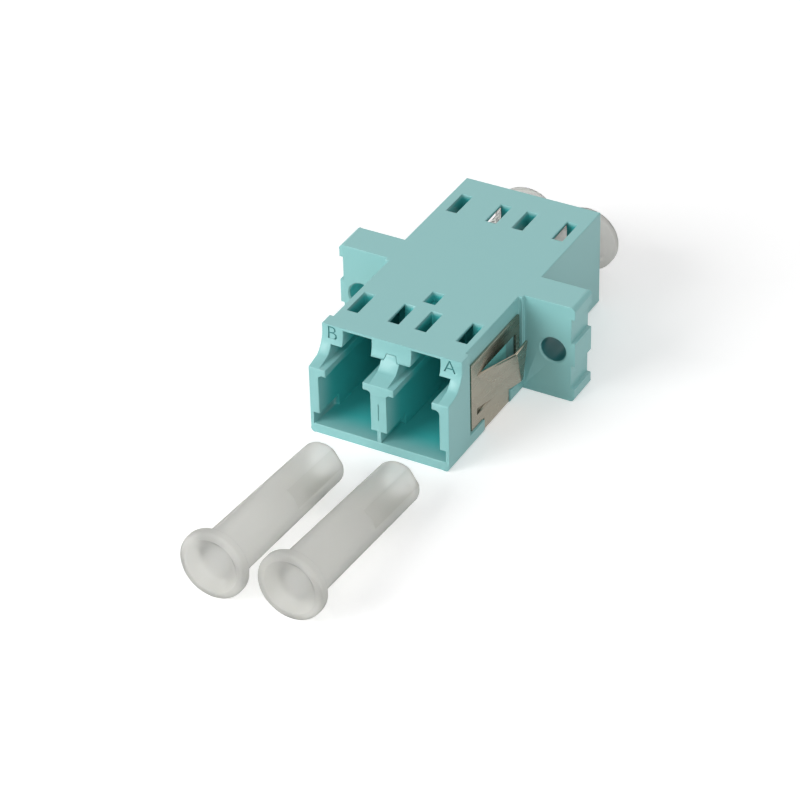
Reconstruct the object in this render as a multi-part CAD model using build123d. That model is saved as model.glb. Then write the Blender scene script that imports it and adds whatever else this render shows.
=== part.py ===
from build123d import *
import os
from math import acos, atan, cos, degrees, radians, sin

os.makedirs("parts", exist_ok=True)

# Small-form duplex fibre adapter with its panel clip and four dust caps. Sizes are in mm.
# X runs across the two ports, Y along them with the front at -Y, and Z is up.
# The origin is the centre of the flange's front face, midway between the two screw holes.

# Housing body
port_pitch = 6.25
body_w = 12.8
front_len = 13.3
rear_len = 14.33
floor_t = 0.88
top_t = 1.71
bottom_r = 0.4

# Front end: the nose slopes up from the ledges, then a hollow curve rises to the letter faces
nose_len = 2.36
nose_slope_len = 1.4
nose_slope_rise = 0.32
nose_curve_r = 2.25

# Port section, half widths about a port's axis and heights above the floor of the port
port_half_w = 2.4
port_h = 4.82
ledge_gap_half_w = 1.72
ledge_t = 0.67
ledge_fillet_r = 0.25
ear_half_w = 2.31
ear_h = 1.12
slot_half_w = 1.31
top_web_t = 0.25
groove_half_w = 2.92
groove_h = 1.07
groove_len = 3.2
port_axis_h = 2.42

# Optical middle: wall, bosses and split sleeves
mid_wall_t = 0.9
insert_plate_t = 1.0
boss_r = 1.25
boss_bore_r = 0.85
boss_lip_r = 0.7
boss_lip_t = 0.35
boss_lead_r = 0.95
sleeve_r = 0.81
sleeve_bore_r = 0.625
sleeve_len = 6.8
sleeve_slit = 0.4
sleeve_end_gap = 0.05

# Latch windows in the top, and the insert's snap window
window_w = 1.0
window_len = 2.95
window_offset = 1.88
window_inset = 2.58
snap_w = 1.08
snap_len = 1.7
snap_inset = 6.43
snap_nib_drop = 0.9

# Divider of the front insert
divider_half_w = 0.72
neck_half_w = 0.83
web_half_w = 0.18
face_groove_w = 0.1
face_groove_h = 1.6
face_groove_depth = 0.08
tab_foot_half_w = 0.6
tab_top_half_w = 0.41
tab_h = 0.55
seat_gap = 0.03

# Flange
flange_t = 3.14
flange_corner_r = 0.42
end_notch_depth = 0.32
end_bump_h = 2.25
end_foot_h = 1.2
screw_pitch = 18.0
screw_edge = 2.0
screw_hole_d = 2.3
screw_edge_chamfer = 0.12

# Recess for the clip in the body's sides and underside
recess_depth = 0.35
recess_front = 3.7
recess_back = 12.95
rail_h = 1.28
strap_front = 6.2
strap_back = 10.85
strap_depth = 0.3

# Panel clip
sheet_t = 0.2
clip_gap = 0.02
clip_front = 4.17
clip_back = 12.65
clip_top = 7.68
clip_top_strip = 1.48
clip_leg_w = 0.67
clip_leg_foot = 2.3
clip_rail_gap = 0.06
clip_strap_side_gap = 0.15
tongue_inset = 0.95
tongue_root_h = 0.1
tongue_len = 4.65
tongue_angle = 26.0
tongue_foot_len = 1.45
tongue_foot_rise = 0.2
tip_len = 2.15
tip_foot_len = 0.35
tip_angle = 22.0
barb_front = 5.1
barb_low = 2.4
barb_h = 0.62
barb_len = 2.5
barb_depth = 0.15

# Dust caps
cap_len = 16.6
cap_root_r = 2.1
cap_tip_r = 1.97
cap_head_r = 2.92
cap_head_t = 0.85
cap_rim_chamfer = 0.25
cap_flare_len = 0.5
cap_dish_r = 2.25
cap_dish_floor_r = 1.75
cap_dish_depth = 0.8
cap_bore_r = 1.55
cap_bore_len = 5.2
cap_flat_half_w = 1.82
cap_flat_len = 6.6
cap_tip_gaps = {"a": 0.3, "b": 1.0}
lying_cap_x = (-2.17, 4.41)
lying_cap_y = (22.34, 21.88)
lying_cap_turn = (-0.9, -0.9)

# Places worked out from the sizes above
half_w = body_w / 2
body_h = floor_t + port_h + ledge_t + ear_h + top_t
body_bottom = -body_h / 2
body_top = body_h / 2
flange_w = screw_pitch + 2 * screw_edge
front_y = -front_len
letter_y = front_y + nose_len
rear_y = rear_len
mid_y = (letter_y + rear_y) / 2
port_floor = body_bottom + floor_t
port_top = port_floor + port_h
ledge_top = port_top + ledge_t
ear_top = ledge_top + ear_h
slot_top = body_top - top_web_t
port_axis_z = port_floor + port_axis_h
mid_wall_front = mid_y - mid_wall_t / 2
mid_wall_back = mid_y + mid_wall_t / 2
boss_reach = sleeve_len / 2 + sleeve_end_gap + boss_lip_t
port_xs = {"a": port_pitch / 2, "b": -port_pitch / 2}
side_x = half_w - recess_depth
strap_y0 = strap_front + clip_strap_side_gap
strap_y1 = strap_back - clip_strap_side_gap
clip_foot = rail_h + clip_rail_gap
strip_foot = clip_top - clip_top_strip
tongue_y = clip_front + tongue_inset
tongue_root = ((tongue_y, strip_foot), (strap_y1, clip_foot + tongue_root_h))
tiny = 0.001
BASE = (Align.CENTER, Align.CENTER, Align.MIN)


def block(x0, x1, y0, y1, z0, z1):
    """Box from its six faces."""
    return Pos(x0, y0, z0) * Box(x1 - x0, y1 - y0, z1 - z0, align=Align.MIN)


def along_y(section, y0, y1):
    """Extrude a section drawn on the XZ plane from y0 to y1."""
    return extrude(Plane.XZ.offset(-y0) * section, amount=-(y1 - y0))


def rod(x, z, radius, y0, y1):
    """Round bar along Y."""
    return along_y(Pos(x, z) * Circle(radius), y0, y1)


def span(x0, x1, z0, z1):
    """Rectangle in a section from its four edges."""
    return Pos((x0 + x1) / 2, (z0 + z1) / 2) * Rectangle(x1 - x0, z1 - z0)


def side_profile():
    """Body outline seen from the side: the sloping nose, then the hollow curve to the letter face."""
    crease_y = front_y + nose_slope_len
    crease_z = ledge_top + nose_slope_rise
    curve_y = letter_y - nose_curve_r
    turn = degrees(acos((crease_y - curve_y) / nose_curve_r))
    curve_z = crease_z + nose_curve_r * sin(radians(turn))
    corners = [
        (crease_y, crease_z),
        (front_y, ledge_top),
        (front_y, body_bottom),
        (rear_y, body_bottom),
        (rear_y, body_top),
        (letter_y, body_top),
        (letter_y, curve_z),
    ]
    curve = CenterArc((curve_y, curve_z), nose_curve_r, 0, -turn)
    return make_face(Polyline(*corners) + curve)


def side_prism(width):
    """The side outline pulled across X, centred."""
    return extrude(Plane.YZ.offset(-width / 2) * side_profile(), amount=width)


def port_section(x):
    """Stepped opening that a plug and its latch slide through."""
    opening = span(x - port_half_w, x + port_half_w, port_floor, port_top)
    opening += span(x - ledge_gap_half_w, x + ledge_gap_half_w, port_top, ledge_top)
    opening += span(x - ear_half_w, x + ear_half_w, ledge_top, ear_top)
    opening += span(x - slot_half_w, x + slot_half_w, ear_top, slot_top)
    return opening


def rounded_under_ledges(section, xs, z, radius):
    """Section with its corners at the given x places and height rounded."""
    level = [v for v in section.vertices() if abs(v.Y - z) < tiny]
    corners = [v for v in level if min(abs(v.X - x) for x in xs) < tiny]
    return fillet(corners, radius)


def tab_section(grow):
    """Tapered tab on top of the divider's neck, or its notch when grown."""
    z0 = ear_top
    z1 = ear_top + tab_h + grow
    corners = [
        (-tab_foot_half_w - grow, z0),
        (tab_foot_half_w + grow, z0),
        (tab_top_half_w + grow, z1),
        (-tab_top_half_w - grow, z1),
    ]
    return make_face(Polyline(*corners, close=True))


def boss(x, y0, y1):
    """Round sleeve holder standing between y0 and y1."""
    return rod(x, port_axis_z, boss_r, y0, y1)


def boss_bore(x, wall_y, mouth_y):
    """Bore for half a split sleeve, stopped by a lip that flares into a lead-in at the mouth."""
    outward = 1 if mouth_y > wall_y else -1
    lip_y = mouth_y - outward * boss_lip_t
    low, high = sorted((wall_y, lip_y))
    bore = rod(x, port_axis_z, boss_bore_r, low, high)
    start = Plane(origin=(x, lip_y, port_axis_z), x_dir=(1, 0, 0), z_dir=(0, outward, 0))
    lead = Cone(boss_lip_r, boss_lead_r, boss_lip_t, align=BASE)
    return bore + start.location * lead


def flange():
    """Panel flange with shaped ends and two screw holes."""
    half = flange_w / 2
    outline = RectangleRounded(flange_w, body_h, flange_corner_r)
    notch_h = (body_h - end_bump_h) / 2 - end_foot_h
    notch_z = end_bump_h / 2 + notch_h / 2
    for side in (-1, 1):
        for level in (-1, 1):
            place = Pos(side * half, level * notch_z)
            outline -= place * Rectangle(2 * end_notch_depth, notch_h)
    plate = along_y(outline, 0, flange_t)
    for side in (-1, 1):
        x = side * screw_pitch / 2
        plate -= rod(x, 0, screw_hole_d / 2, 0, flange_t)
    rims = plate.edges().filter_by(GeomType.CIRCLE)
    rims = rims.filter_by(lambda e: abs(e.radius - screw_hole_d / 2) < 0.01)
    return chamfer(rims, screw_edge_chamfer)


def latch_windows(port_mouth_y, inward):
    """Four windows through the top, each over a pocket that opens into the latch slot."""
    near = port_mouth_y + inward * window_inset
    low, high = sorted((near, near + inward * window_len))
    cuts = []
    for x in port_xs.values():
        for side in (-1, 1):
            outer = x + side * (window_offset + window_w / 2)
            x0, x1 = sorted((outer - side * window_w, outer))
            section = span(x0, x1, ear_top, body_top)
            x0, x1 = sorted((x, outer))
            section += span(x0, x1, ear_top - ear_h / 2, slot_top)
            cuts.append(along_y(section, low, high))
    return cuts


def clip_recess():
    """Shallow side pockets and the underside groove that hold the clip."""
    y0 = front_y + strap_front
    y1 = front_y + strap_back
    rail_top = body_bottom + rail_h
    cuts = []
    for side in (-1, 1):
        x0, x1 = sorted((side * side_x, side * half_w))
        cuts.append(block(x0, x1, front_y + recess_front, front_y + recess_back, rail_top, body_top))
        cuts.append(block(x0, x1, y0, y1, body_bottom, rail_top))
    cuts.append(block(-half_w, half_w, y0, y1, body_bottom, body_bottom + strap_depth))
    return cuts


def make_housing():
    body = side_prism(body_w)
    long_edges = body.edges().filter_by(Axis.Y).group_by(Axis.Z)[0]
    body = fillet(long_edges, bottom_r)
    body += flange()
    front_room = port_section(port_xs["a"]) + port_section(port_xs["b"])
    front_room += span(-neck_half_w, neck_half_w, port_floor, ear_top)
    front_room += span(-port_pitch / 2, port_pitch / 2, port_top, ledge_top)
    front_room += tab_section(seat_gap)
    reach = port_pitch / 2 + port_half_w
    front_room = rounded_under_ledges(front_room, (-reach, reach), port_top, ledge_fillet_r)
    body -= along_y(front_room, front_y, mid_wall_front)
    for x in port_xs.values():
        sides = (x - port_half_w, x + port_half_w)
        rear_room = rounded_under_ledges(port_section(x), sides, port_top, ledge_fillet_r)
        body -= along_y(rear_room, mid_wall_back, rear_y)
        groove = span(x - groove_half_w, x + groove_half_w, port_floor, port_floor + groove_h)
        body -= along_y(groove, front_y, front_y + groove_len)
        body += boss(x, mid_wall_back, mid_y + boss_reach)
        body -= boss_bore(x, mid_wall_front, mid_y + boss_reach)
    for cut in latch_windows(letter_y, 1) + latch_windows(rear_y, -1) + clip_recess():
        body -= cut
    snap_y = letter_y + snap_inset
    body -= block(-snap_w / 2, snap_w / 2, snap_y, snap_y + snap_len, ear_top, body_top)
    return body


def divider_section(foot_half_w):
    """Front divider: foot, wall, ledges, neck and tab."""
    foot = port_floor + seat_gap
    ledge_half_w = port_pitch / 2 - ledge_gap_half_w
    section = span(-foot_half_w, foot_half_w, foot, port_floor + groove_h)
    section += span(-divider_half_w, divider_half_w, port_floor + groove_h, port_top)
    section += span(-ledge_half_w, ledge_half_w, port_top, ledge_top)
    section += span(-neck_half_w, neck_half_w, ledge_top, ear_top - seat_gap)
    section += Pos(0, -seat_gap) * tab_section(0)
    return rounded_under_ledges(section, (-divider_half_w, divider_half_w), port_top, ledge_fillet_r)


def plate_section():
    """The insert's plate fills the room in front of the mid wall, with a seating gap."""
    wide = port_pitch / 2 + port_half_w - seat_gap
    section = span(-wide, wide, port_floor + seat_gap, port_top - seat_gap)
    reach = port_pitch / 2 + ledge_gap_half_w - seat_gap
    section += span(-reach, reach, port_top - seat_gap, ledge_top + seat_gap)
    reach = port_pitch / 2 + ear_half_w - seat_gap
    section += span(-reach, reach, ledge_top + seat_gap, ear_top - seat_gap)
    return rounded_under_ledges(section, (-wide, wide), port_top - seat_gap, ledge_fillet_r - seat_gap)


def make_insert():
    plate_back = mid_wall_front - seat_gap
    plate_front = plate_back - insert_plate_t
    groove_end = front_y + groove_len
    insert = along_y(divider_section(web_half_w), front_y, groove_end)
    insert += along_y(divider_section(divider_half_w), groove_end, plate_back)
    insert &= side_prism(body_w)
    face_mid = (port_floor + groove_h + port_top) / 2
    face_groove = Box(face_groove_w, 2 * face_groove_depth, face_groove_h)
    insert -= Pos(0, front_y, face_mid) * face_groove
    insert += along_y(plate_section(), plate_front, plate_back)
    for x in port_xs.values():
        insert += boss(x, mid_y - boss_reach, plate_front)
        insert -= boss_bore(x, plate_back, mid_y - boss_reach)
    snap_y = letter_y + snap_inset
    nib_half_w = snap_w / 2 - seat_gap
    nib_top = body_top - snap_nib_drop
    y0 = snap_y + seat_gap
    y1 = snap_y + snap_len - seat_gap
    insert += block(-nib_half_w, nib_half_w, y0, y1, ear_top - seat_gap, nib_top)
    return insert


def make_sleeve(x):
    y0 = mid_y - sleeve_len / 2
    y1 = mid_y + sleeve_len / 2
    tube = rod(x, port_axis_z, sleeve_r, y0, y1) - rod(x, port_axis_z, sleeve_bore_r, y0, y1)
    slit = block(x - sleeve_slit / 2, x + sleeve_slit / 2, y0, y1, port_axis_z, port_axis_z + sleeve_r)
    return tube - slit


def sheet(plane, corners):
    """Flat piece of the clip's sheet, drawn on its middle plane."""
    return extrude(plane * make_face(Polyline(*corners, close=True)), amount=sheet_t / 2, both=True)


def clip_strap_section():
    """U of the strap under the body, with tight folds up to the side plates."""
    outer = side_x + clip_gap + sheet_t
    top = body_bottom + strap_depth - clip_gap
    foot = top - sheet_t
    wrap = span(-outer, outer, foot, body_bottom + rail_h)
    wrap = fillet(wrap.vertices().group_by(Axis.Y)[0], sheet_t)
    return wrap - span(-outer + sheet_t, outer - sheet_t, top, body_bottom + rail_h)


def clip_plate(plane):
    """Frame of a side plate: top strip, free rear leg, and the foot that joins the strap."""
    corners = [
        (clip_front, clip_foot),
        (strap_y0, clip_foot),
        (strap_y0, rail_h - sheet_t),
        (strap_y1, rail_h - sheet_t),
        tongue_root[1],
        tongue_root[0],
        (clip_back - clip_leg_w, strip_foot),
        (clip_back - clip_leg_w, clip_leg_foot),
        (clip_back, clip_leg_foot),
        (clip_back, clip_top),
        (clip_front, clip_top),
    ]
    return sheet(plane, corners)


def fold(plane, start, end, angle):
    """Plane turned about the line between two points of the given one, with its origin at the first."""
    origin = plane.from_local_coords(start)
    along = (plane.from_local_coords(end) - origin).normalized()
    return Plane(origin=origin, x_dir=along, z_dir=plane.z_dir.rotate(Axis((0, 0, 0), along), angle))


def unfolded(points, start, end):
    """Points of a flat pattern, measured along a fold line and square to it."""
    base = Vector(*start)
    along = (Vector(*end) - base).normalized()
    square = Vector(-along.Y, along.X)
    return [((Vector(*p) - base).dot(along), (Vector(*p) - base).dot(square)) for p in points]


def clip_tongue(plane):
    """Tongue bent out about a slanting root line, with its tip bent part of the way back."""
    start, end = tongue_root
    fold_line = ((start[0] + tongue_len, start[1]), (end[0] + tongue_foot_len, end[1] + tongue_foot_rise))
    tip_end = ((fold_line[0][0] + tip_len, fold_line[0][1]), (fold_line[1][0] + tip_foot_len, fold_line[1][1]))
    flap_plane = fold(plane, *tongue_root, tongue_angle)
    flap = unfolded([start, end, fold_line[1], fold_line[0]], *tongue_root)
    tip_plane = fold(flap_plane, *unfolded(fold_line, *tongue_root), -tip_angle)
    tip = unfolded([fold_line[0], fold_line[1], tip_end[1], tip_end[0]], *fold_line)
    return sheet(flap_plane, flap) + sheet(tip_plane, tip)


def clip_barb(plane):
    """Three-cornered dent that a punch leaves in the side plate."""
    corners = [
        (barb_front, barb_low),
        (barb_front + barb_len, barb_low),
        (barb_front, barb_low + barb_h),
    ]
    face = plane.offset(sheet_t / 2 - barb_depth)
    return extrude(face * make_face(Polyline(*corners, close=True)), amount=sheet_t)


def make_clip():
    middle_x = side_x + clip_gap + sheet_t / 2
    plane = Plane(origin=(middle_x, front_y, body_bottom), x_dir=(0, 1, 0), z_dir=(1, 0, 0))
    side = clip_plate(plane) - clip_barb(plane) + clip_tongue(plane)
    strap = along_y(clip_strap_section(), front_y + strap_y0, front_y + strap_y1)
    return strap + side + mirror(side, Plane.YZ)


def make_cap():
    """Dust cap along +Z: dished head at the origin, tapered shaft, blind bore in its tip."""
    profile = Polyline(
        (0, cap_dish_depth),
        (cap_dish_floor_r, cap_dish_depth),
        (cap_dish_r, 0),
        (cap_head_r - cap_rim_chamfer, 0),
        (cap_head_r, cap_rim_chamfer),
        (cap_head_r, cap_head_t),
        (cap_root_r, cap_head_t + cap_flare_len),
        (cap_tip_r, cap_len),
        (0, cap_len),
        close=True,
    )
    cap = revolve(Plane.XZ * make_face(profile), Axis.Z)
    cap -= Pos(0, 0, cap_len - cap_bore_len) * Cylinder(cap_bore_r, cap_bore_len, align=BASE)
    for side in (-1, 1):
        flat = Box(cap_root_r, 2 * cap_root_r, cap_flat_len, align=BASE)
        cap -= Pos(side * (cap_flat_half_w + cap_root_r / 2), 0, cap_len - cap_flat_len) * flat
    return cap


def plugged_place(x, tip_gap):
    """Cap's place when its tip stands off the mid wall by the gap."""
    head_y = mid_wall_back + tip_gap + cap_len
    return Plane(origin=(x, head_y, port_axis_z), x_dir=(1, 0, 0), z_dir=(0, -1, 0)).location


def lying_place(x, y, turn):
    """Cap's place on the floor, touching it with the back edge of its head and the end of the shaft."""
    tilt = degrees(atan((cap_head_r - cap_tip_r) / (cap_len - cap_head_t)))
    floor_gap = cap_head_t * sin(radians(tilt)) + cap_head_r * cos(radians(tilt))
    spot = Pos(x, y, body_bottom + floor_gap) * Rot(0, 0, turn)
    return spot * Rot(-90 - tilt, 0, 0)


def save(part, name):
    export_step(part, os.path.join("parts", name + ".step"))


save(make_housing(), "housing")
save(make_insert(), "sleeve_holder_insert")
save(make_clip(), "panel_clip")
for letter, x in port_xs.items():
    save(make_sleeve(x), "split_sleeve_" + letter)
    save(plugged_place(x, cap_tip_gaps[letter]) * make_cap(), "dust_cap_rear_" + letter)
for letter, x, ahead, turn in zip("ba", lying_cap_x, lying_cap_y, lying_cap_turn):
    save(lying_place(x, front_y - ahead, turn) * make_cap(), "dust_cap_front_" + letter)
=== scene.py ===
import bmesh
import bpy
import math
from mathutils import Matrix, Vector


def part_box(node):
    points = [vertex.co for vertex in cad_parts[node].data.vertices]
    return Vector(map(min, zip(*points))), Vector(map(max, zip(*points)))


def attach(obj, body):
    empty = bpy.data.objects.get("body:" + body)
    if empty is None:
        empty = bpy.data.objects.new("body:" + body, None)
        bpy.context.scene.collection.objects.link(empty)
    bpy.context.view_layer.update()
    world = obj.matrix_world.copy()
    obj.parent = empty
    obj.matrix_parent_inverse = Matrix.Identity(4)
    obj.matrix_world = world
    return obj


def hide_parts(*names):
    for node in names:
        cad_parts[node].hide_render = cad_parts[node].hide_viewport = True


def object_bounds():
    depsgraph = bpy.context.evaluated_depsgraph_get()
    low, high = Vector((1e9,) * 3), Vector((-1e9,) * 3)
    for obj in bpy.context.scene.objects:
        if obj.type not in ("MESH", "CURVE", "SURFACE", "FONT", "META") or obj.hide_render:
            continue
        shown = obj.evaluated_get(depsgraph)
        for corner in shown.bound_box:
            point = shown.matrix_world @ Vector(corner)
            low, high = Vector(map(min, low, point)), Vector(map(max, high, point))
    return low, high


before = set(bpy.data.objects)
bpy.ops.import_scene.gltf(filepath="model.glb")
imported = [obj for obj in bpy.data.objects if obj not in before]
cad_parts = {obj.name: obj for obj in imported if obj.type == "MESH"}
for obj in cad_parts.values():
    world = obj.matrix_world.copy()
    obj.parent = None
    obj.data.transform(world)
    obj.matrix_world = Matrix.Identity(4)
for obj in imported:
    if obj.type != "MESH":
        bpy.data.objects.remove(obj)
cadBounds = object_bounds()
mm = 0.001
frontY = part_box("housing")[0][1]
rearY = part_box("housing")[1][1]
print("frame loaded")


# Camera and room

photoCamera = {
    # angles in degrees, found by fitting the housing's corners
    "azimuth": 29.486,
    "elevation": 35.04,
    "roll": -1.522,
    "distance": 266.718 * mm,
    "target": Vector((-2.508, -5.3, -5.323)) * mm,
    "focalPixels": 3206.3,
    "framePixels": 800,
    "sensor": 36.0,
    "clip": (0.01, 10),
}

room = {
    "floorSize": 0.9,
    "floorColour": (0.86, 0.86, 0.86, 1),
    "floorRoughness": 0.9,
    "floorLift": 0.36,  # glow of the floor where it is looked at
    "worldLight": 0.4,  # light that the surround gives the object
    "lamps": {
        # name: (direction towards the lamp, distance, size, watts)
        "keyLamp": (Vector((-0.60, -0.90, 0.55)), 0.5, 0.34, 1.87),
        "cameraLamp": (Vector((0.40, -0.80, 0.62)), 0.55, 0.28, 0.38),
        "sideLamp": (Vector((1.0, -0.12, 0.40)), 0.5, 0.3, 0.26),
        "rearLamp": (Vector((-0.40, 0.71, 0.57)), 0.6, 0.5, 0.3),
    },
}


def addCamera(v):
    az = math.radians(v["azimuth"])
    el = math.radians(v["elevation"])
    back = Vector((math.sin(az) * math.cos(el), -math.cos(az) * math.cos(el), math.sin(el)))
    right = back.cross(Vector((0, 0, -1))).normalized()
    up = back.cross(right)
    turn = Matrix.Rotation(math.radians(v["roll"]), 4, back)
    axes = Matrix((right, up, back)).transposed().to_4x4()
    data = bpy.data.cameras.new("photoCamera")
    data.sensor_width = v["sensor"]
    data.lens = v["focalPixels"] / v["framePixels"] * v["sensor"]
    data.clip_start, data.clip_end = v["clip"]
    obj = bpy.data.objects.new("photoCamera", data)
    bpy.context.scene.collection.objects.link(obj)
    obj.matrix_world = Matrix.Translation(v["target"] + back * v["distance"]) @ turn @ axes
    bpy.context.scene.camera = obj


def addLamp(name, direction, distance, size, watts):
    data = bpy.data.lights.new(name, "AREA")
    data.shape = "DISK"
    data.size = size
    data.energy = watts
    obj = bpy.data.objects.new(name, data)
    bpy.context.scene.collection.objects.link(obj)
    towards = direction.normalized()
    aim = towards.to_track_quat("Z", "Y").to_matrix().to_4x4()
    obj.matrix_world = Matrix.Translation(towards * distance) @ aim


def seenOrReflected(nodes, links):
    # 1 where the background is looked at, straight, in a reflection or through something clear
    path = nodes.new("ShaderNodeLightPath")
    level = path.outputs["Is Camera Ray"]
    for ray in ("Is Glossy Ray", "Is Transmission Ray"):
        either = nodes.new("ShaderNodeMath")
        either.operation = "MAXIMUM"
        links.new(level, either.inputs[0])
        links.new(path.outputs[ray], either.inputs[1])
        level = either.outputs[0]
    return level


def paleWorld(strength):
    world = bpy.data.worlds.new("paleWorld")
    bpy.context.scene.world = world
    world.use_nodes = True
    nodes, links = world.node_tree.nodes, world.node_tree.links
    level = nodes.new("ShaderNodeMapRange")
    level.inputs["To Min"].default_value = strength
    level.inputs["To Max"].default_value = 1.0
    links.new(seenOrReflected(nodes, links), level.inputs["Value"])
    background = nodes["Background"]
    background.inputs["Color"].default_value = (1, 1, 1, 1)
    links.new(level.outputs["Result"], background.inputs["Strength"])


def paleFloor(v, height):
    half = v["floorSize"] / 2
    mesh = bpy.data.meshes.new("paleFloor")
    corners = [(x, y, height) for x, y in ((-half, -half), (half, -half), (half, half), (-half, half))]
    mesh.from_pydata(corners, [], [(0, 1, 2, 3)])
    floor = bpy.data.objects.new("paleFloor", mesh)
    bpy.context.scene.collection.objects.link(floor)
    mat = bpy.data.materials.new("paleFloor")
    mat.use_nodes = True
    nodes, links = mat.node_tree.nodes, mat.node_tree.links
    shader = nodes["Principled BSDF"]
    shader.inputs["Base Color"].default_value = v["floorColour"]
    shader.inputs["Roughness"].default_value = v["floorRoughness"]
    shader.inputs["Specular IOR Level"].default_value = 0.0
    shader.inputs["Emission Color"].default_value = (1, 1, 1, 1)
    lift = nodes.new("ShaderNodeMath")
    lift.operation = "MULTIPLY"
    lift.inputs[1].default_value = v["floorLift"]
    links.new(seenOrReflected(nodes, links), lift.inputs[0])
    links.new(lift.outputs[0], shader.inputs["Emission Strength"])
    mesh.materials.append(mat)


addCamera(photoCamera)
paleWorld(room["worldLight"])
paleFloor(room, cadBounds[0].z)
for lampName, lampValues in room["lamps"].items():
    addLamp(lampName, *lampValues)
bpy.context.scene.view_settings.view_transform = "Standard"
print("camera, floor and lamps set")


# Surface effects shared by the materials

def newGroup(name, inputs, outputs):
    group = bpy.data.node_groups.new(name, "ShaderNodeTree")
    for socketName, kind, value in inputs:
        socket = group.interface.new_socket(socketName, in_out="INPUT", socket_type=kind)
        if value is not None:
            socket.default_value = value
    for socketName, kind in outputs:
        group.interface.new_socket(socketName, in_out="OUTPUT", socket_type=kind)
    return group, group.nodes.new("NodeGroupInput"), group.nodes.new("NodeGroupOutput")


def surfaceGrainGroup():
    # fine tool texture of a mould, with soft patches; heights and masks from object coordinates
    group, given, out = newGroup(
        "surfaceGrain",
        [("Vector", "NodeSocketVector", None), ("Grain Size mm", "NodeSocketFloat", 0.08),
         ("Patch Size mm", "NodeSocketFloat", 2.5), ("Stretch", "NodeSocketVector", (1, 1, 1))],
        [("Height", "NodeSocketFloat"), ("Patches", "NodeSocketFloat")],
    )
    nodes, links = group.nodes, group.links
    stretch = nodes.new("ShaderNodeVectorMath")
    stretch.operation = "MULTIPLY"
    links.new(given.outputs["Vector"], stretch.inputs[0])
    links.new(given.outputs["Stretch"], stretch.inputs[1])
    for size, target, detail in (("Grain Size mm", "Height", 3), ("Patch Size mm", "Patches", 2)):
        scale = nodes.new("ShaderNodeMath")
        scale.operation = "DIVIDE"
        scale.inputs[0].default_value = 1 / mm
        links.new(given.outputs[size], scale.inputs[1])
        noise = nodes.new("ShaderNodeTexNoise")
        noise.inputs["Detail"].default_value = detail
        links.new(stretch.outputs[0], noise.inputs["Vector"])
        links.new(scale.outputs[0], noise.inputs["Scale"])
        links.new(noise.outputs["Fac"], out.inputs[target])
    return group


def insideBoxGroup():
    # 1 inside an upright box, fading out towards its sides
    group, given, out = newGroup(
        "insideBox",
        [("Vector", "NodeSocketVector", None), ("Centre", "NodeSocketVector", (0, 0, 0)),
         ("Half Size", "NodeSocketVector", (1, 1, 1)), ("Softness", "NodeSocketVector", (1, 1, 1))],
        [("Inside", "NodeSocketFloat")],
    )
    nodes, links = group.nodes, group.links
    value = given.outputs["Vector"]
    steps = (("SUBTRACT", "Centre"), ("ABSOLUTE", None), ("SUBTRACT", "Half Size"), ("DIVIDE", "Softness"))
    for operation, other in steps:
        step = nodes.new("ShaderNodeVectorMath")
        step.operation = operation
        links.new(value, step.inputs[0])
        if other:
            links.new(given.outputs[other], step.inputs[1])
        value = step.outputs[0]
    parts = nodes.new("ShaderNodeSeparateXYZ")
    links.new(value, parts.inputs[0])
    over = parts.outputs["X"]
    for axis in "YZ":
        larger = nodes.new("ShaderNodeMath")
        larger.operation = "MAXIMUM"
        links.new(over, larger.inputs[0])
        links.new(parts.outputs[axis], larger.inputs[1])
        over = larger.outputs[0]
    inside = nodes.new("ShaderNodeMapRange")
    inside.interpolation_type = "SMOOTHSTEP"
    inside.inputs["From Min"].default_value = 0
    inside.inputs["From Max"].default_value = -1
    links.new(over, inside.inputs["Value"])
    links.new(inside.outputs["Result"], out.inputs["Inside"])
    return group


surfaceGrain = surfaceGrainGroup()
insideBox = insideBoxGroup()


def grainedMaterial(name, v):
    # one shader with its own values, fed by the shared grain
    mat = bpy.data.materials.new(name)
    mat.use_nodes = True
    nodes, links = mat.node_tree.nodes, mat.node_tree.links
    shader = nodes["Principled BSDF"]
    for socket, value in v["shader"].items():
        shader.inputs[socket].default_value = value
    place = nodes.new("ShaderNodeTexCoord")
    grain = nodes.new("ShaderNodeGroup")
    grain.node_tree = surfaceGrain
    grain.inputs["Grain Size mm"].default_value = v["grainSize"]
    grain.inputs["Patch Size mm"].default_value = v["patchSize"]
    grain.inputs["Stretch"].default_value = v["stretch"]
    links.new(place.outputs["Object"], grain.inputs["Vector"])
    tint = nodes.new("ShaderNodeMix")
    tint.data_type = "RGBA"
    tint.inputs["A"].default_value = v["colour"]
    tint.inputs["B"].default_value = v["patchColour"]
    links.new(grain.outputs["Patches"], tint.inputs["Factor"])
    links.new(tint.outputs["Result"], shader.inputs["Base Color"])
    rough = nodes.new("ShaderNodeMapRange")
    rough.inputs["To Min"].default_value = v["roughness"][0]
    rough.inputs["To Max"].default_value = v["roughness"][1]
    links.new(grain.outputs["Patches"], rough.inputs["Value"])
    links.new(rough.outputs["Result"], shader.inputs["Roughness"])
    bump = nodes.new("ShaderNodeBump")
    bump.inputs["Strength"].default_value = v["bumpStrength"]
    bump.inputs["Distance"].default_value = v["bumpDepth"] * mm
    links.new(grain.outputs["Height"], bump.inputs["Height"])
    links.new(bump.outputs["Normal"], shader.inputs["Normal"])
    return mat


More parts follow.
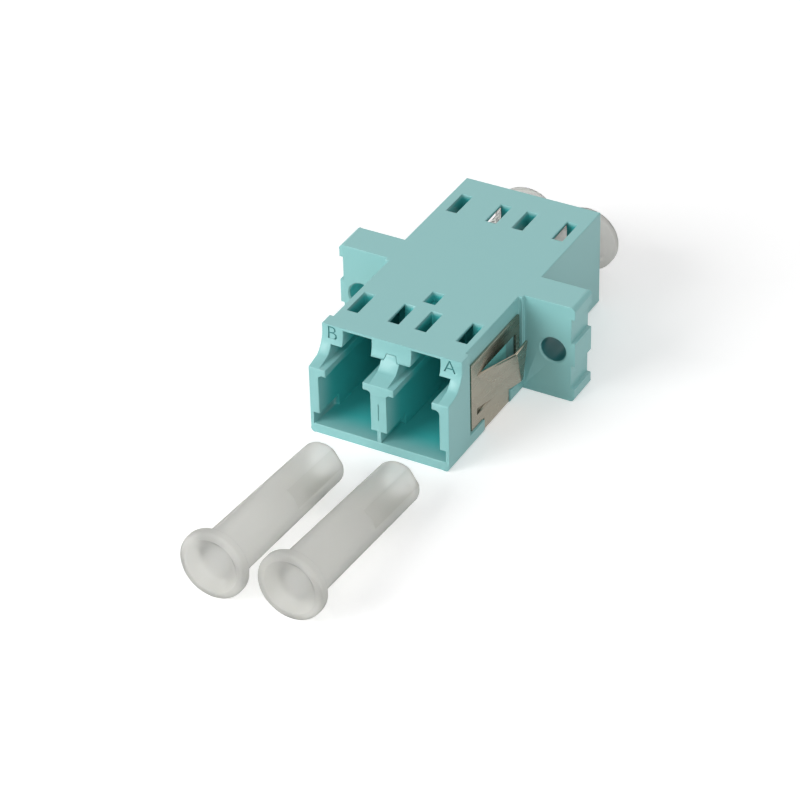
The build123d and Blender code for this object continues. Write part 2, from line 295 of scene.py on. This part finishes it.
def paintLightAndShade(mat, v):
    # painted light and shade: outside the boxes the plastic keeps its paler colour, which also stands in
    # for the sheen of its lit faces; inside each box the colour is swapped for a painted shade or a
    # painted light
    nodes, links = mat.node_tree.nodes, mat.node_tree.links
    shader = nodes["Principled BSDF"]
    place = nodes.new("ShaderNodeTexCoord")
    colour = shader.inputs["Base Color"].links[0].from_socket
    for boxColour, low, high, softness in v["boxes"]:
        low, high = Vector(low) * mm, Vector(high) * mm
        box = nodes.new("ShaderNodeGroup")
        box.node_tree = insideBox
        box.inputs["Centre"].default_value = (low + high) / 2
        box.inputs["Half Size"].default_value = (high - low) / 2
        box.inputs["Softness"].default_value = Vector(softness) * mm
        links.new(place.outputs["Object"], box.inputs["Vector"])
        tint = nodes.new("ShaderNodeMix")
        tint.data_type = "RGBA"
        links.new(box.outputs["Inside"], tint.inputs["Factor"])
        links.new(colour, tint.inputs["A"])
        tint.inputs["B"].default_value = v[boxColour]
        colour = tint.outputs["Result"]
    links.new(colour, shader.inputs["Base Color"])


aquaPlastic = grainedMaterial("aquaPlastic", {
    # here and below, grain, patches and bump depth are in mm
    # partly the plastic's own colour and partly a painted sheen: paler than the plastic inside the ports,
    # as its lit outer faces look
    "colour": (0.235, 0.515, 0.51, 1),
    "patchColour": (0.255, 0.53, 0.525, 1),
    "roughness": (0.36, 0.46),
    "grainSize": 0.09,
    "patchSize": 2.6,
    "stretch": (1, 1, 1),
    "bumpStrength": 0.25,
    "bumpDepth": 0.004,
    "shader": {
        "IOR": 1.5,
        "Specular IOR Level": 0.38,
        "Coat Weight": 0.2,
        "Coat Roughness": 0.3,
    },
})
portFront = frontY / mm
portBack = rearY / mm
letterFront = portFront + 2.37
letterBack = portFront + 2.5
paintLightAndShade(aquaPlastic, {
    # painted shade: a deeper, more saturated colour inside the ports, where light only reaches by bouncing
    "paintedPortShade": (0.06, 0.475, 0.47, 1),
    # painted shade: the right screw hole darker inside
    "paintedRightHoleShade": (0.014, 0.19, 0.2, 1),
    # painted light: the left screw hole brighter inside
    "paintedLeftHoleLight": (0.12, 0.58, 0.58, 1),
    # painted light: brighter plastic in the recess behind the clip's window, where the clip shades it
    "paintedWindowLight": (0.3, 0.86, 0.84, 1),
    # painted shade: darker floors and walls of the engraved letters
    "paintedLetterShade": (0.05, 0.25, 0.25, 1),
    # colour, lowest and highest corner, and the softness of the border, all in mm
    "boxes": (
        ("paintedPortShade", (-6.0, portFront + 0.05, -4.2), (6.0, portBack - 0.05, 1.4), (0.3, 2.6, 0.3)),
        ("paintedPortShade", (-6.0, portFront + 2.45, 0.5), (6.0, portBack - 0.05, 4.5), (0.3, 1.5, 0.4)),
        ("paintedRightHoleShade", (7.6, 0.1, -1.5), (10.4, 3.04, 1.5), (0.2, 0.2, 0.2)),
        ("paintedLeftHoleLight", (-10.4, 0.1, -1.5), (-7.6, 3.04, 1.5), (0.2, 0.2, 0.2)),
        ("paintedWindowLight", (5.85, -8.3, -3.2), (6.35, -2.5, 1.7), (0.1, 0.3, 0.3)),
        ("paintedWindowLight", (-6.35, -8.3, -3.2), (-5.85, -2.5, 1.7), (0.1, 0.3, 0.3)),
        ("paintedLetterShade", (-6.0, letterFront, 3.2), (-4.8, letterBack, 4.56), (0.04, 0.02, 0.02)),
        ("paintedLetterShade", (4.7, letterFront, 3.2), (5.9, letterBack, 4.56), (0.04, 0.02, 0.02)),
    ),
})

springSteel = grainedMaterial("springSteel", {
    "colour": (0.30, 0.275, 0.215, 1),
    "patchColour": (0.39, 0.355, 0.285, 1),
    "roughness": (0.2, 0.34),
    "grainSize": 0.05,
    "patchSize": 0.7,
    "stretch": (1, 0.12, 1),
    "bumpStrength": 0.3,
    "bumpDepth": 0.003,
    "shader": {"Metallic": 1.0},
})

capSurface = {
    "colour": (0.65, 0.65, 0.625, 1),
    "patchColour": (0.675, 0.675, 0.65, 1),
    "roughness": (0.5, 0.6),
    "grainSize": 0.12,
    "patchSize": 3.5,
    "stretch": (1, 1, 1),
    "bumpStrength": 0.15,
    "bumpDepth": 0.004,
    "shader": {
        "IOR": 1.22,
        "Transmission Weight": 0.78,
        "Subsurface Weight": 1.0,
        "Subsurface Radius": (1.0, 1.0, 0.9),
        "Subsurface Scale": 0.8 * mm,
    },
}
capPlastic = grainedMaterial("capPlastic", capSurface)
capBore = grainedMaterial("capBore", {
    # the bore is moulded on a polished pin, so it is clearer than the outside
    **capSurface,
    "colour": (0.94, 0.94, 0.92, 1),
    "patchColour": (0.96, 0.96, 0.95, 1),
    "roughness": (0.3, 0.4),
    "bumpStrength": 0.05,
    "shader": {"IOR": 1.22, "Transmission Weight": 0.95},
})
capFlatPaintedShade = grainedMaterial("capFlatPaintedShade", {
    # painted shade: the two flats are a shade deeper in colour than the turned shaft, as they look where
    # they face away from the light
    **capSurface,
    "colour": (0.58, 0.58, 0.55, 1),
    "patchColour": (0.6, 0.6, 0.57, 1),
})

ceramic = grainedMaterial("ceramic", {
    "colour": (0.86, 0.86, 0.83, 1),
    "patchColour": (0.89, 0.89, 0.87, 1),
    "roughness": (0.12, 0.2),
    "grainSize": 0.03,
    "patchSize": 1.0,
    "stretch": (1, 1, 1),
    "bumpStrength": 0.05,
    "bumpDepth": 0.002,
    "shader": {"IOR": 2.0},
})
print("materials built")


# Skins of the moulded and folded parts: the same form with softened edges

edgeValues = {
    "mergeDistance": 0.0005 * mm,
    "cornerAngle": 32,  # degrees; a gentler bend is part of a curve
    "segments": 2,
    # places where soft edges would run into each other, so they stay crisp
    "letterHalfWidth": 0.6 * mm,
    "letterMargin": 0.02 * mm,
    "notchHalfWidth": 0.8 * mm,
    "notchLow": 2.6 * mm,
    "notchHigh": 3.8 * mm,
    "grooveHalfWidth": 0.1 * mm,
    "grooveReach": 0.2 * mm,
}


def mergedMesh(nodeName):
    # closed copy of a CAD node, with its flat faces whole again
    mesh = bmesh.new()
    mesh.from_mesh(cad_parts[nodeName].data)
    bmesh.ops.remove_doubles(mesh, verts=mesh.verts, dist=edgeValues["mergeDistance"])
    return mesh


def weighEdges(mesh, shortest, keptCrisp):
    # real corners are marked for the bevel, or left crisp where they are too short for one
    layer = mesh.edges.layers.float.new("bevel_weight_edge")
    cornerAngle = math.radians(edgeValues["cornerAngle"])
    for edge in mesh.edges:
        if len(edge.link_faces) == 2 and edge.calc_face_angle() > cornerAngle:
            longEnough = edge.calc_length() > shortest and not keptCrisp(edge)
            edge[layer] = 1.0 if longEnough else 0.0
            edge.smooth = longEnough
    for face in mesh.faces:
        face.smooth = True


def finishPiece(mesh, name, material):
    data = bpy.data.meshes.new(name)
    mesh.to_mesh(data)
    mesh.free()
    data.materials.clear()
    data.materials.append(material)
    piece = bpy.data.objects.new(name, data)
    bpy.context.scene.collection.objects.link(piece)
    return piece


def softenEdges(piece, width):
    bevel = piece.modifiers.new("softEdges", "BEVEL")
    bevel.width = width
    bevel.segments = edgeValues["segments"]
    bevel.limit_method = "WEIGHT"
    bevel.use_clamp_overlap = False
    bevel.face_strength_mode = "FSTR_ALL"
    flattenFaces(piece)


def flattenFaces(piece):
    # large faces shade flat, and the bend is left to the narrow ones between them
    flatten = piece.modifiers.new("flatFaces", "WEIGHTED_NORMAL")
    flatten.mode = "FACE_AREA"
    flatten.weight = 100
    flatten.keep_sharp = True
    flatten.use_face_influence = True


def declare(piece, bodyName, nodeName):
    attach(piece, bodyName)
    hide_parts(nodeName)


# Port letters, cut into the two corners of the letter face

letterValues = {
    "noseLength": 2.36 * mm,
    "height": 1.2 * mm,
    "foot": 3.28 * mm,
    "depth": 0.07 * mm,
    "thinning": -0.012,
    "centres": {"B": -5.4 * mm, "A": 5.3 * mm},
}


def letterPrism(letter, centreX, faceY, v):
    # upright letter that reaches from in front of the face to the depth of the cut
    curve = bpy.data.curves.new("letter" + letter, "FONT")
    curve.body = letter
    curve.extrude = 0.5  # one unit deep, scaled below
    curve.offset = v["thinning"]
    text = bpy.data.objects.new("letter" + letter, curve)
    mesh = bpy.data.meshes.new_from_object(text)
    bpy.data.objects.remove(text)
    low = [min(vert.co[axis] for vert in mesh.vertices) for axis in range(3)]
    high = [max(vert.co[axis] for vert in mesh.vertices) for axis in range(3)]
    scale = v["height"] / (high[1] - low[1])
    middle = (low[0] + high[0]) / 2
    stand = Matrix.Rotation(math.radians(90), 4, "X")
    shrink = Matrix.Diagonal((scale, scale, 2 * v["depth"], 1))
    centre = Matrix.Translation((-middle, -low[1], 0))
    mesh.transform(Matrix.Translation((centreX, faceY, v["foot"])) @ stand @ shrink @ centre)
    return bpy.data.objects.new("letter" + letter, mesh)


def letterCutters(v):
    faceY = frontY + v["noseLength"]
    return [letterPrism(letter, x, faceY, v) for letter, x in v["centres"].items()]


def engraved(mesh, cutters):
    # the mesh with each cutter taken out of it
    data = bpy.data.meshes.new("engravingBlank")
    mesh.to_mesh(data)
    mesh.free()
    blank = bpy.data.objects.new("engravingBlank", data)
    objects = [blank] + cutters
    for obj in objects:
        bpy.context.scene.collection.objects.link(obj)
    for cutter in cutters:
        cut = blank.modifiers.new(cutter.name, "BOOLEAN")
        cut.operation = "DIFFERENCE"
        cut.solver = "EXACT"
        cut.object = cutter
    bpy.context.view_layer.update()
    evaluated = blank.evaluated_get(bpy.context.evaluated_depsgraph_get())
    result = bmesh.new()
    result.from_mesh(bpy.data.meshes.new_from_object(evaluated))
    for obj in objects:
        bpy.data.objects.remove(obj)
    return result


def inLetters(edge):
    # edges of the engraving, just behind the letter face
    faceY = frontY + letterValues["noseLength"]
    reach = 2 * letterValues["depth"]
    low = letterValues["foot"] - edgeValues["letterMargin"]
    high = low + letterValues["height"] + 2 * edgeValues["letterMargin"]
    nearFace = all(abs(vert.co.y - faceY) < reach and low < vert.co.z < high for vert in edge.verts)
    aside = min(abs(edge.verts[0].co.x - x) for x in letterValues["centres"].values())
    return nearFace and aside < edgeValues["letterHalfWidth"]


def inNotch(edge):
    # edges of the small notch over the divider's tab
    half = edgeValues["notchHalfWidth"]
    low = edgeValues["notchLow"]
    high = edgeValues["notchHigh"]
    return all(abs(vert.co.x) < half and low < vert.co.z < high for vert in edge.verts)


def inLettersOrNotch(edge):
    return inLetters(edge) or inNotch(edge)


def inFaceGroove(edge):
    # edges of the fine groove down the divider's front
    half = edgeValues["grooveHalfWidth"]
    back = frontY + edgeValues["grooveReach"]
    return all(abs(vert.co.x) < half and vert.co.y < back for vert in edge.verts)


def softSkin(nodeName, name, material, slotName, width, shortest):
    mesh = mergedMesh(nodeName)
    keptCrisp = inFaceGroove
    if nodeName == "housing":
        mesh = engraved(mesh, letterCutters(letterValues))
        keptCrisp = inLettersOrNotch
    weighEdges(mesh, shortest, keptCrisp)
    piece = finishPiece(mesh, name, material)
    softenEdges(piece, width)
    declare(piece, "adapter", nodeName)


skinValues = {
    # node: name, material and slot of its skin, width of the soft edges and the shortest edge with one
    "housing": ("mouldedHousing", aquaPlastic, "aqua_plastic", 0.07 * mm, 0.24 * mm),
    "sleeve_holder_insert": ("mouldedInsert", aquaPlastic, "aqua_plastic", 0.035 * mm, 0.2 * mm),
    "panel_clip": ("foldedClip", springSteel, "spring_steel", 0.03 * mm, 0.15 * mm),
    "split_sleeve_a": ("slitSleeveA", ceramic, "ceramic", 0.03 * mm, 0.15 * mm),
    "split_sleeve_b": ("slitSleeveB", ceramic, "ceramic", 0.03 * mm, 0.15 * mm),
}
for nodeName, values in skinValues.items():
    softSkin(nodeName, *values)
print("housing, insert, clip and sleeves built")


# Dust caps: one turned form with two flats, set at each of the four places

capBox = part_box("dust_cap_rear_a")
capValues = {
    # sizes in mm and angles in degrees; a corner's rounding stands beside it in capProfile
    "length": (capBox[1][1] - capBox[0][1]) / mm,
    "headRadius": (capBox[1][0] - capBox[0][0]) / 2 / mm,
    "headThickness": 0.85,
    "flareLength": 0.5,
    "rootRadius": 2.1,
    "tipRadius": 1.97,
    "boreRadius": 1.55,
    "boreDepth": 5.2,
    "dishDepth": 1.0,
    "dishFloorRadius": 1.3,
    "dishMouthRadius": 2.3,
    "flatHalfWidth": 1.77,
    "flatLength": 7.1,
    "shoulder": 0.02,
    "roundingSteps": 6,
    "sides": 128,
    "turningCircle": 0.0001,  # the circle only turns the section, which brings its own radius
    "seamGap": 0.001,
    "creaseAngle": 18,
    # how far a face may be off and still count as the bore's, the flats' or the head's
    "boreSlack": 0.01,
    "flatSlack": 0.001,
    "flatFacing": 0.999,
    "headSlack": 0.005,
    # by how much the lying caps point aside and are rolled
    "lyingTurn": -0.9,
    "lyingRoll": -36,
}


def capProfile(v):
    # half section from the middle of the dish to the bottom of the bore: radius, height and rounding
    flareEnd = v["headThickness"] + v["flareLength"]
    flatStart = v["length"] - v["flatLength"]
    taper = (v["rootRadius"] - v["tipRadius"]) / (v["length"] - flareEnd)
    flatRadius = v["rootRadius"] - taper * (flatStart - flareEnd)
    return (
        (0, v["dishDepth"], 0),
        (v["dishFloorRadius"], v["dishDepth"], 1.0),
        (v["dishMouthRadius"], 0, 0.12),
        (v["headRadius"], 0, 0.3),
        (v["headRadius"], v["headThickness"], 0.15),
        (v["rootRadius"], flareEnd, 0.6),
        (flatRadius, flatStart, 0),
        (flatRadius, flatStart + v["shoulder"], 0),
        (v["tipRadius"], v["length"], 0.14),
        (v["boreRadius"], v["length"], 0.1),
        (v["boreRadius"], v["length"] - v["boreDepth"], 0.3),
        (0, v["length"] - v["boreDepth"], 0),
    )


def latheTree(v):
    # turns a half section round Z, cuts two flats near its tip and closes the seam and poles
    tree = bpy.data.node_groups.new("turnedCap", "GeometryNodeTree")
    inputs = (
        ("Half Section", "Geometry"),
        ("Sides", "Int"),
        ("Rounding Steps", "Int"),
        ("Flat Half Width", "Float"),
        ("Flat Start", "Float"),
        ("Crease Angle", "Float"),
        ("Material", "Material"),
    )
    for socketName, kind in inputs:
        tree.interface.new_socket(socketName, in_out="INPUT", socket_type="NodeSocket" + kind)
    tree.interface.new_socket("Cap", in_out="OUTPUT", socket_type="NodeSocketGeometry")
    nodes, links = tree.nodes, tree.links
    given, out = nodes.new("NodeGroupInput"), nodes.new("NodeGroupOutput")
    section = nodes.new("GeometryNodeMeshToCurve")
    links.new(given.outputs["Half Section"], section.inputs["Mesh"])
    rounding = nodes.new("GeometryNodeInputNamedAttribute")
    rounding.data_type = "FLOAT"
    rounding.inputs["Name"].default_value = "rounding"
    fillet = nodes.new("GeometryNodeFilletCurve")
    fillet.mode = "POLY"
    links.new(section.outputs["Curve"], fillet.inputs["Curve"])
    links.new(given.outputs["Rounding Steps"], fillet.inputs["Count"])
    links.new(rounding.outputs["Attribute"], fillet.inputs["Radius"])
    circle = nodes.new("GeometryNodeCurvePrimitiveCircle")
    circle.inputs["Radius"].default_value = v["turningCircle"] * mm
    links.new(given.outputs["Sides"], circle.inputs["Resolution"])
    turned = nodes.new("GeometryNodeCurveToMesh")
    links.new(circle.outputs["Curve"], turned.inputs["Curve"])
    links.new(fillet.outputs["Curve"], turned.inputs["Profile Curve"])
    closed = nodes.new("GeometryNodeMergeByDistance")
    closed.inputs["Distance"].default_value = v["seamGap"] * mm
    links.new(turned.outputs["Mesh"], closed.inputs["Geometry"])
    place = nodes.new("GeometryNodeInputPosition")
    parts = nodes.new("ShaderNodeSeparateXYZ")
    links.new(place.outputs["Position"], parts.inputs["Vector"])
    minus = nodes.new("ShaderNodeMath")
    minus.operation = "MULTIPLY"
    minus.inputs[1].default_value = -1
    links.new(given.outputs["Flat Half Width"], minus.inputs[0])
    clamp = nodes.new("ShaderNodeClamp")
    links.new(parts.outputs["X"], clamp.inputs["Value"])
    links.new(minus.outputs[0], clamp.inputs["Min"])
    links.new(given.outputs["Flat Half Width"], clamp.inputs["Max"])
    moved = nodes.new("ShaderNodeCombineXYZ")
    links.new(clamp.outputs["Result"], moved.inputs["X"])
    links.new(parts.outputs["Y"], moved.inputs["Y"])
    links.new(parts.outputs["Z"], moved.inputs["Z"])
    nearTip = nodes.new("FunctionNodeCompare")
    nearTip.operation = "GREATER_THAN"
    links.new(parts.outputs["Z"], nearTip.inputs["A"])
    links.new(given.outputs["Flat Start"], nearTip.inputs["B"])
    flats = nodes.new("GeometryNodeSetPosition")
    links.new(closed.outputs["Geometry"], flats.inputs["Geometry"])
    links.new(nearTip.outputs["Result"], flats.inputs["Selection"])
    links.new(moved.outputs["Vector"], flats.inputs["Position"])
    bend = nodes.new("GeometryNodeInputMeshEdgeAngle")
    gentle = nodes.new("FunctionNodeCompare")
    gentle.operation = "LESS_THAN"
    links.new(bend.outputs["Unsigned Angle"], gentle.inputs["A"])
    links.new(given.outputs["Crease Angle"], gentle.inputs["B"])
    smoothFaces = nodes.new("GeometryNodeSetShadeSmooth")
    links.new(flats.outputs["Geometry"], smoothFaces.inputs["Geometry"])
    smoothEdges = nodes.new("GeometryNodeSetShadeSmooth")
    smoothEdges.domain = "EDGE"
    links.new(smoothFaces.outputs["Geometry"], smoothEdges.inputs["Geometry"])
    links.new(gentle.outputs["Result"], smoothEdges.inputs["Shade Smooth"])
    real = nodes.new("GeometryNodeRealizeInstances")
    links.new(smoothEdges.outputs["Geometry"], real.inputs["Geometry"])
    finish = nodes.new("GeometryNodeSetMaterial")
    links.new(real.outputs["Geometry"], finish.inputs["Geometry"])
    links.new(given.outputs["Material"], finish.inputs["Material"])
    links.new(finish.outputs["Geometry"], out.inputs["Cap"])
    return tree


def clearBore(mesh, v, material):
    # the faces inside the blind bore take the clearer finish
    mesh.materials.append(material)
    bottom = (v["length"] - v["boreDepth"] - v["boreSlack"]) * mm
    reach = (v["boreRadius"] + v["boreSlack"]) * mm
    for face in mesh.polygons:
        x, y, z = face.center
        if z > bottom and math.hypot(x, y) < reach:
            face.material_index = len(mesh.materials) - 1


def paintShadeOnFlats(mesh, v, material):
    # the faces of the two flats take the painted shade
    mesh.materials.append(material)
    start = (v["length"] - v["flatLength"]) * mm
    reach = (v["flatHalfWidth"] - v["flatSlack"]) * mm
    for face in mesh.polygons:
        corners = [mesh.vertices[index].co for index in face.vertices]
        onFlat = all(abs(co.x) > reach and co.z > start for co in corners)
        if onFlat and abs(face.normal.x) > v["flatFacing"]:
            face.material_index = len(mesh.materials) - 1


def turnedCapMesh(v, material, boreMaterial, flatShadeMaterial):
    corners = capProfile(v)
    section = bpy.data.meshes.new("capHalfSection")
    # the sweep lays the section's X along the radius and its Y down the axis
    points = [(radius * mm, -height * mm, 0) for radius, height, rounding in corners]
    edges = [(i, i + 1) for i in range(len(corners) - 1)]
    section.from_pydata(points, edges, [])
    attribute = section.attributes.new("rounding", "FLOAT", "POINT")
    attribute.data.foreach_set("value", [rounding * mm for radius, height, rounding in corners])
    blank = bpy.data.objects.new("capHalfSection", section)
    bpy.context.scene.collection.objects.link(blank)
    tree = latheTree(v)
    sockets = {item.name: item.identifier for item in tree.interface.items_tree if item.in_out == "INPUT"}
    lathe = blank.modifiers.new("turnedCap", "NODES")
    lathe.node_group = tree
    lathe[sockets["Sides"]] = v["sides"]
    lathe[sockets["Rounding Steps"]] = v["roundingSteps"]
    lathe[sockets["Flat Half Width"]] = v["flatHalfWidth"] * mm
    lathe[sockets["Flat Start"]] = (v["length"] - v["flatLength"] + v["shoulder"] / 2) * mm
    lathe[sockets["Crease Angle"]] = math.radians(v["creaseAngle"])
    lathe[sockets["Material"]] = material
    bpy.context.view_layer.update()
    evaluated = blank.evaluated_get(bpy.context.evaluated_depsgraph_get())
    mesh = bpy.data.meshes.new_from_object(evaluated)
    blank.modifiers.clear()
    bpy.data.objects.remove(blank)
    faces = bmesh.new()
    faces.from_mesh(mesh)
    bmesh.ops.recalc_face_normals(faces, faces=faces.faces)
    faces.to_mesh(mesh)
    faces.free()
    clearBore(mesh, v, boreMaterial)
    paintShadeOnFlats(mesh, v, flatShadeMaterial)
    return mesh


def headCentre(nodeName, axis, v):
    # middle of the rings that lie in the plane of the cap's head face
    mesh = mergedMesh(nodeName)
    verts = [vert.co.copy() for vert in mesh.verts]
    mesh.free()
    low = min(co.dot(axis) for co in verts)
    ring = [co for co in verts if co.dot(axis) < low + v["headSlack"] * mm]
    return sum(ring, Vector()) / len(ring)


def placeCap(mesh, name, nodeName, bodyName, turn, roll):
    axis = turn.to_3x3() @ Vector((0, 0, 1))
    spin = Matrix.Rotation(math.radians(roll), 4, "Z")
    data = mesh.copy()
    data.name = name
    data.transform(Matrix.Translation(headCentre(nodeName, axis, capValues)) @ turn @ spin)
    piece = bpy.data.objects.new(name, data)
    bpy.context.scene.collection.objects.link(piece)
    flattenFaces(piece)
    declare(piece, bodyName, nodeName)


capMesh = turnedCapMesh(capValues, capPlastic, capBore, capFlatPaintedShade)
# a lying cap rests on its head's rim and its tip
rise = capValues["headRadius"] - capValues["tipRadius"]
tilt = math.degrees(math.atan(rise / (capValues["length"] - capValues["headThickness"])))
lyingDown = Matrix.Rotation(math.radians(-90 - tilt), 4, "X")
lyingTurn = Matrix.Rotation(math.radians(capValues["lyingTurn"]), 4, "Z") @ lyingDown
pluggedTurn = Matrix.Rotation(math.radians(90), 4, "X")
for letter in "ab":
    plugged = "pluggedCap" + letter.upper()
    lying = "lyingCap" + letter.upper()
    placeCap(capMesh, plugged, "dust_cap_rear_" + letter, "rear_cap_" + letter, pluggedTurn, 0)
    placeCap(capMesh, lying, "dust_cap_front_" + letter, "adapter", lyingTurn, capValues["lyingRoll"])
print("pieces built")
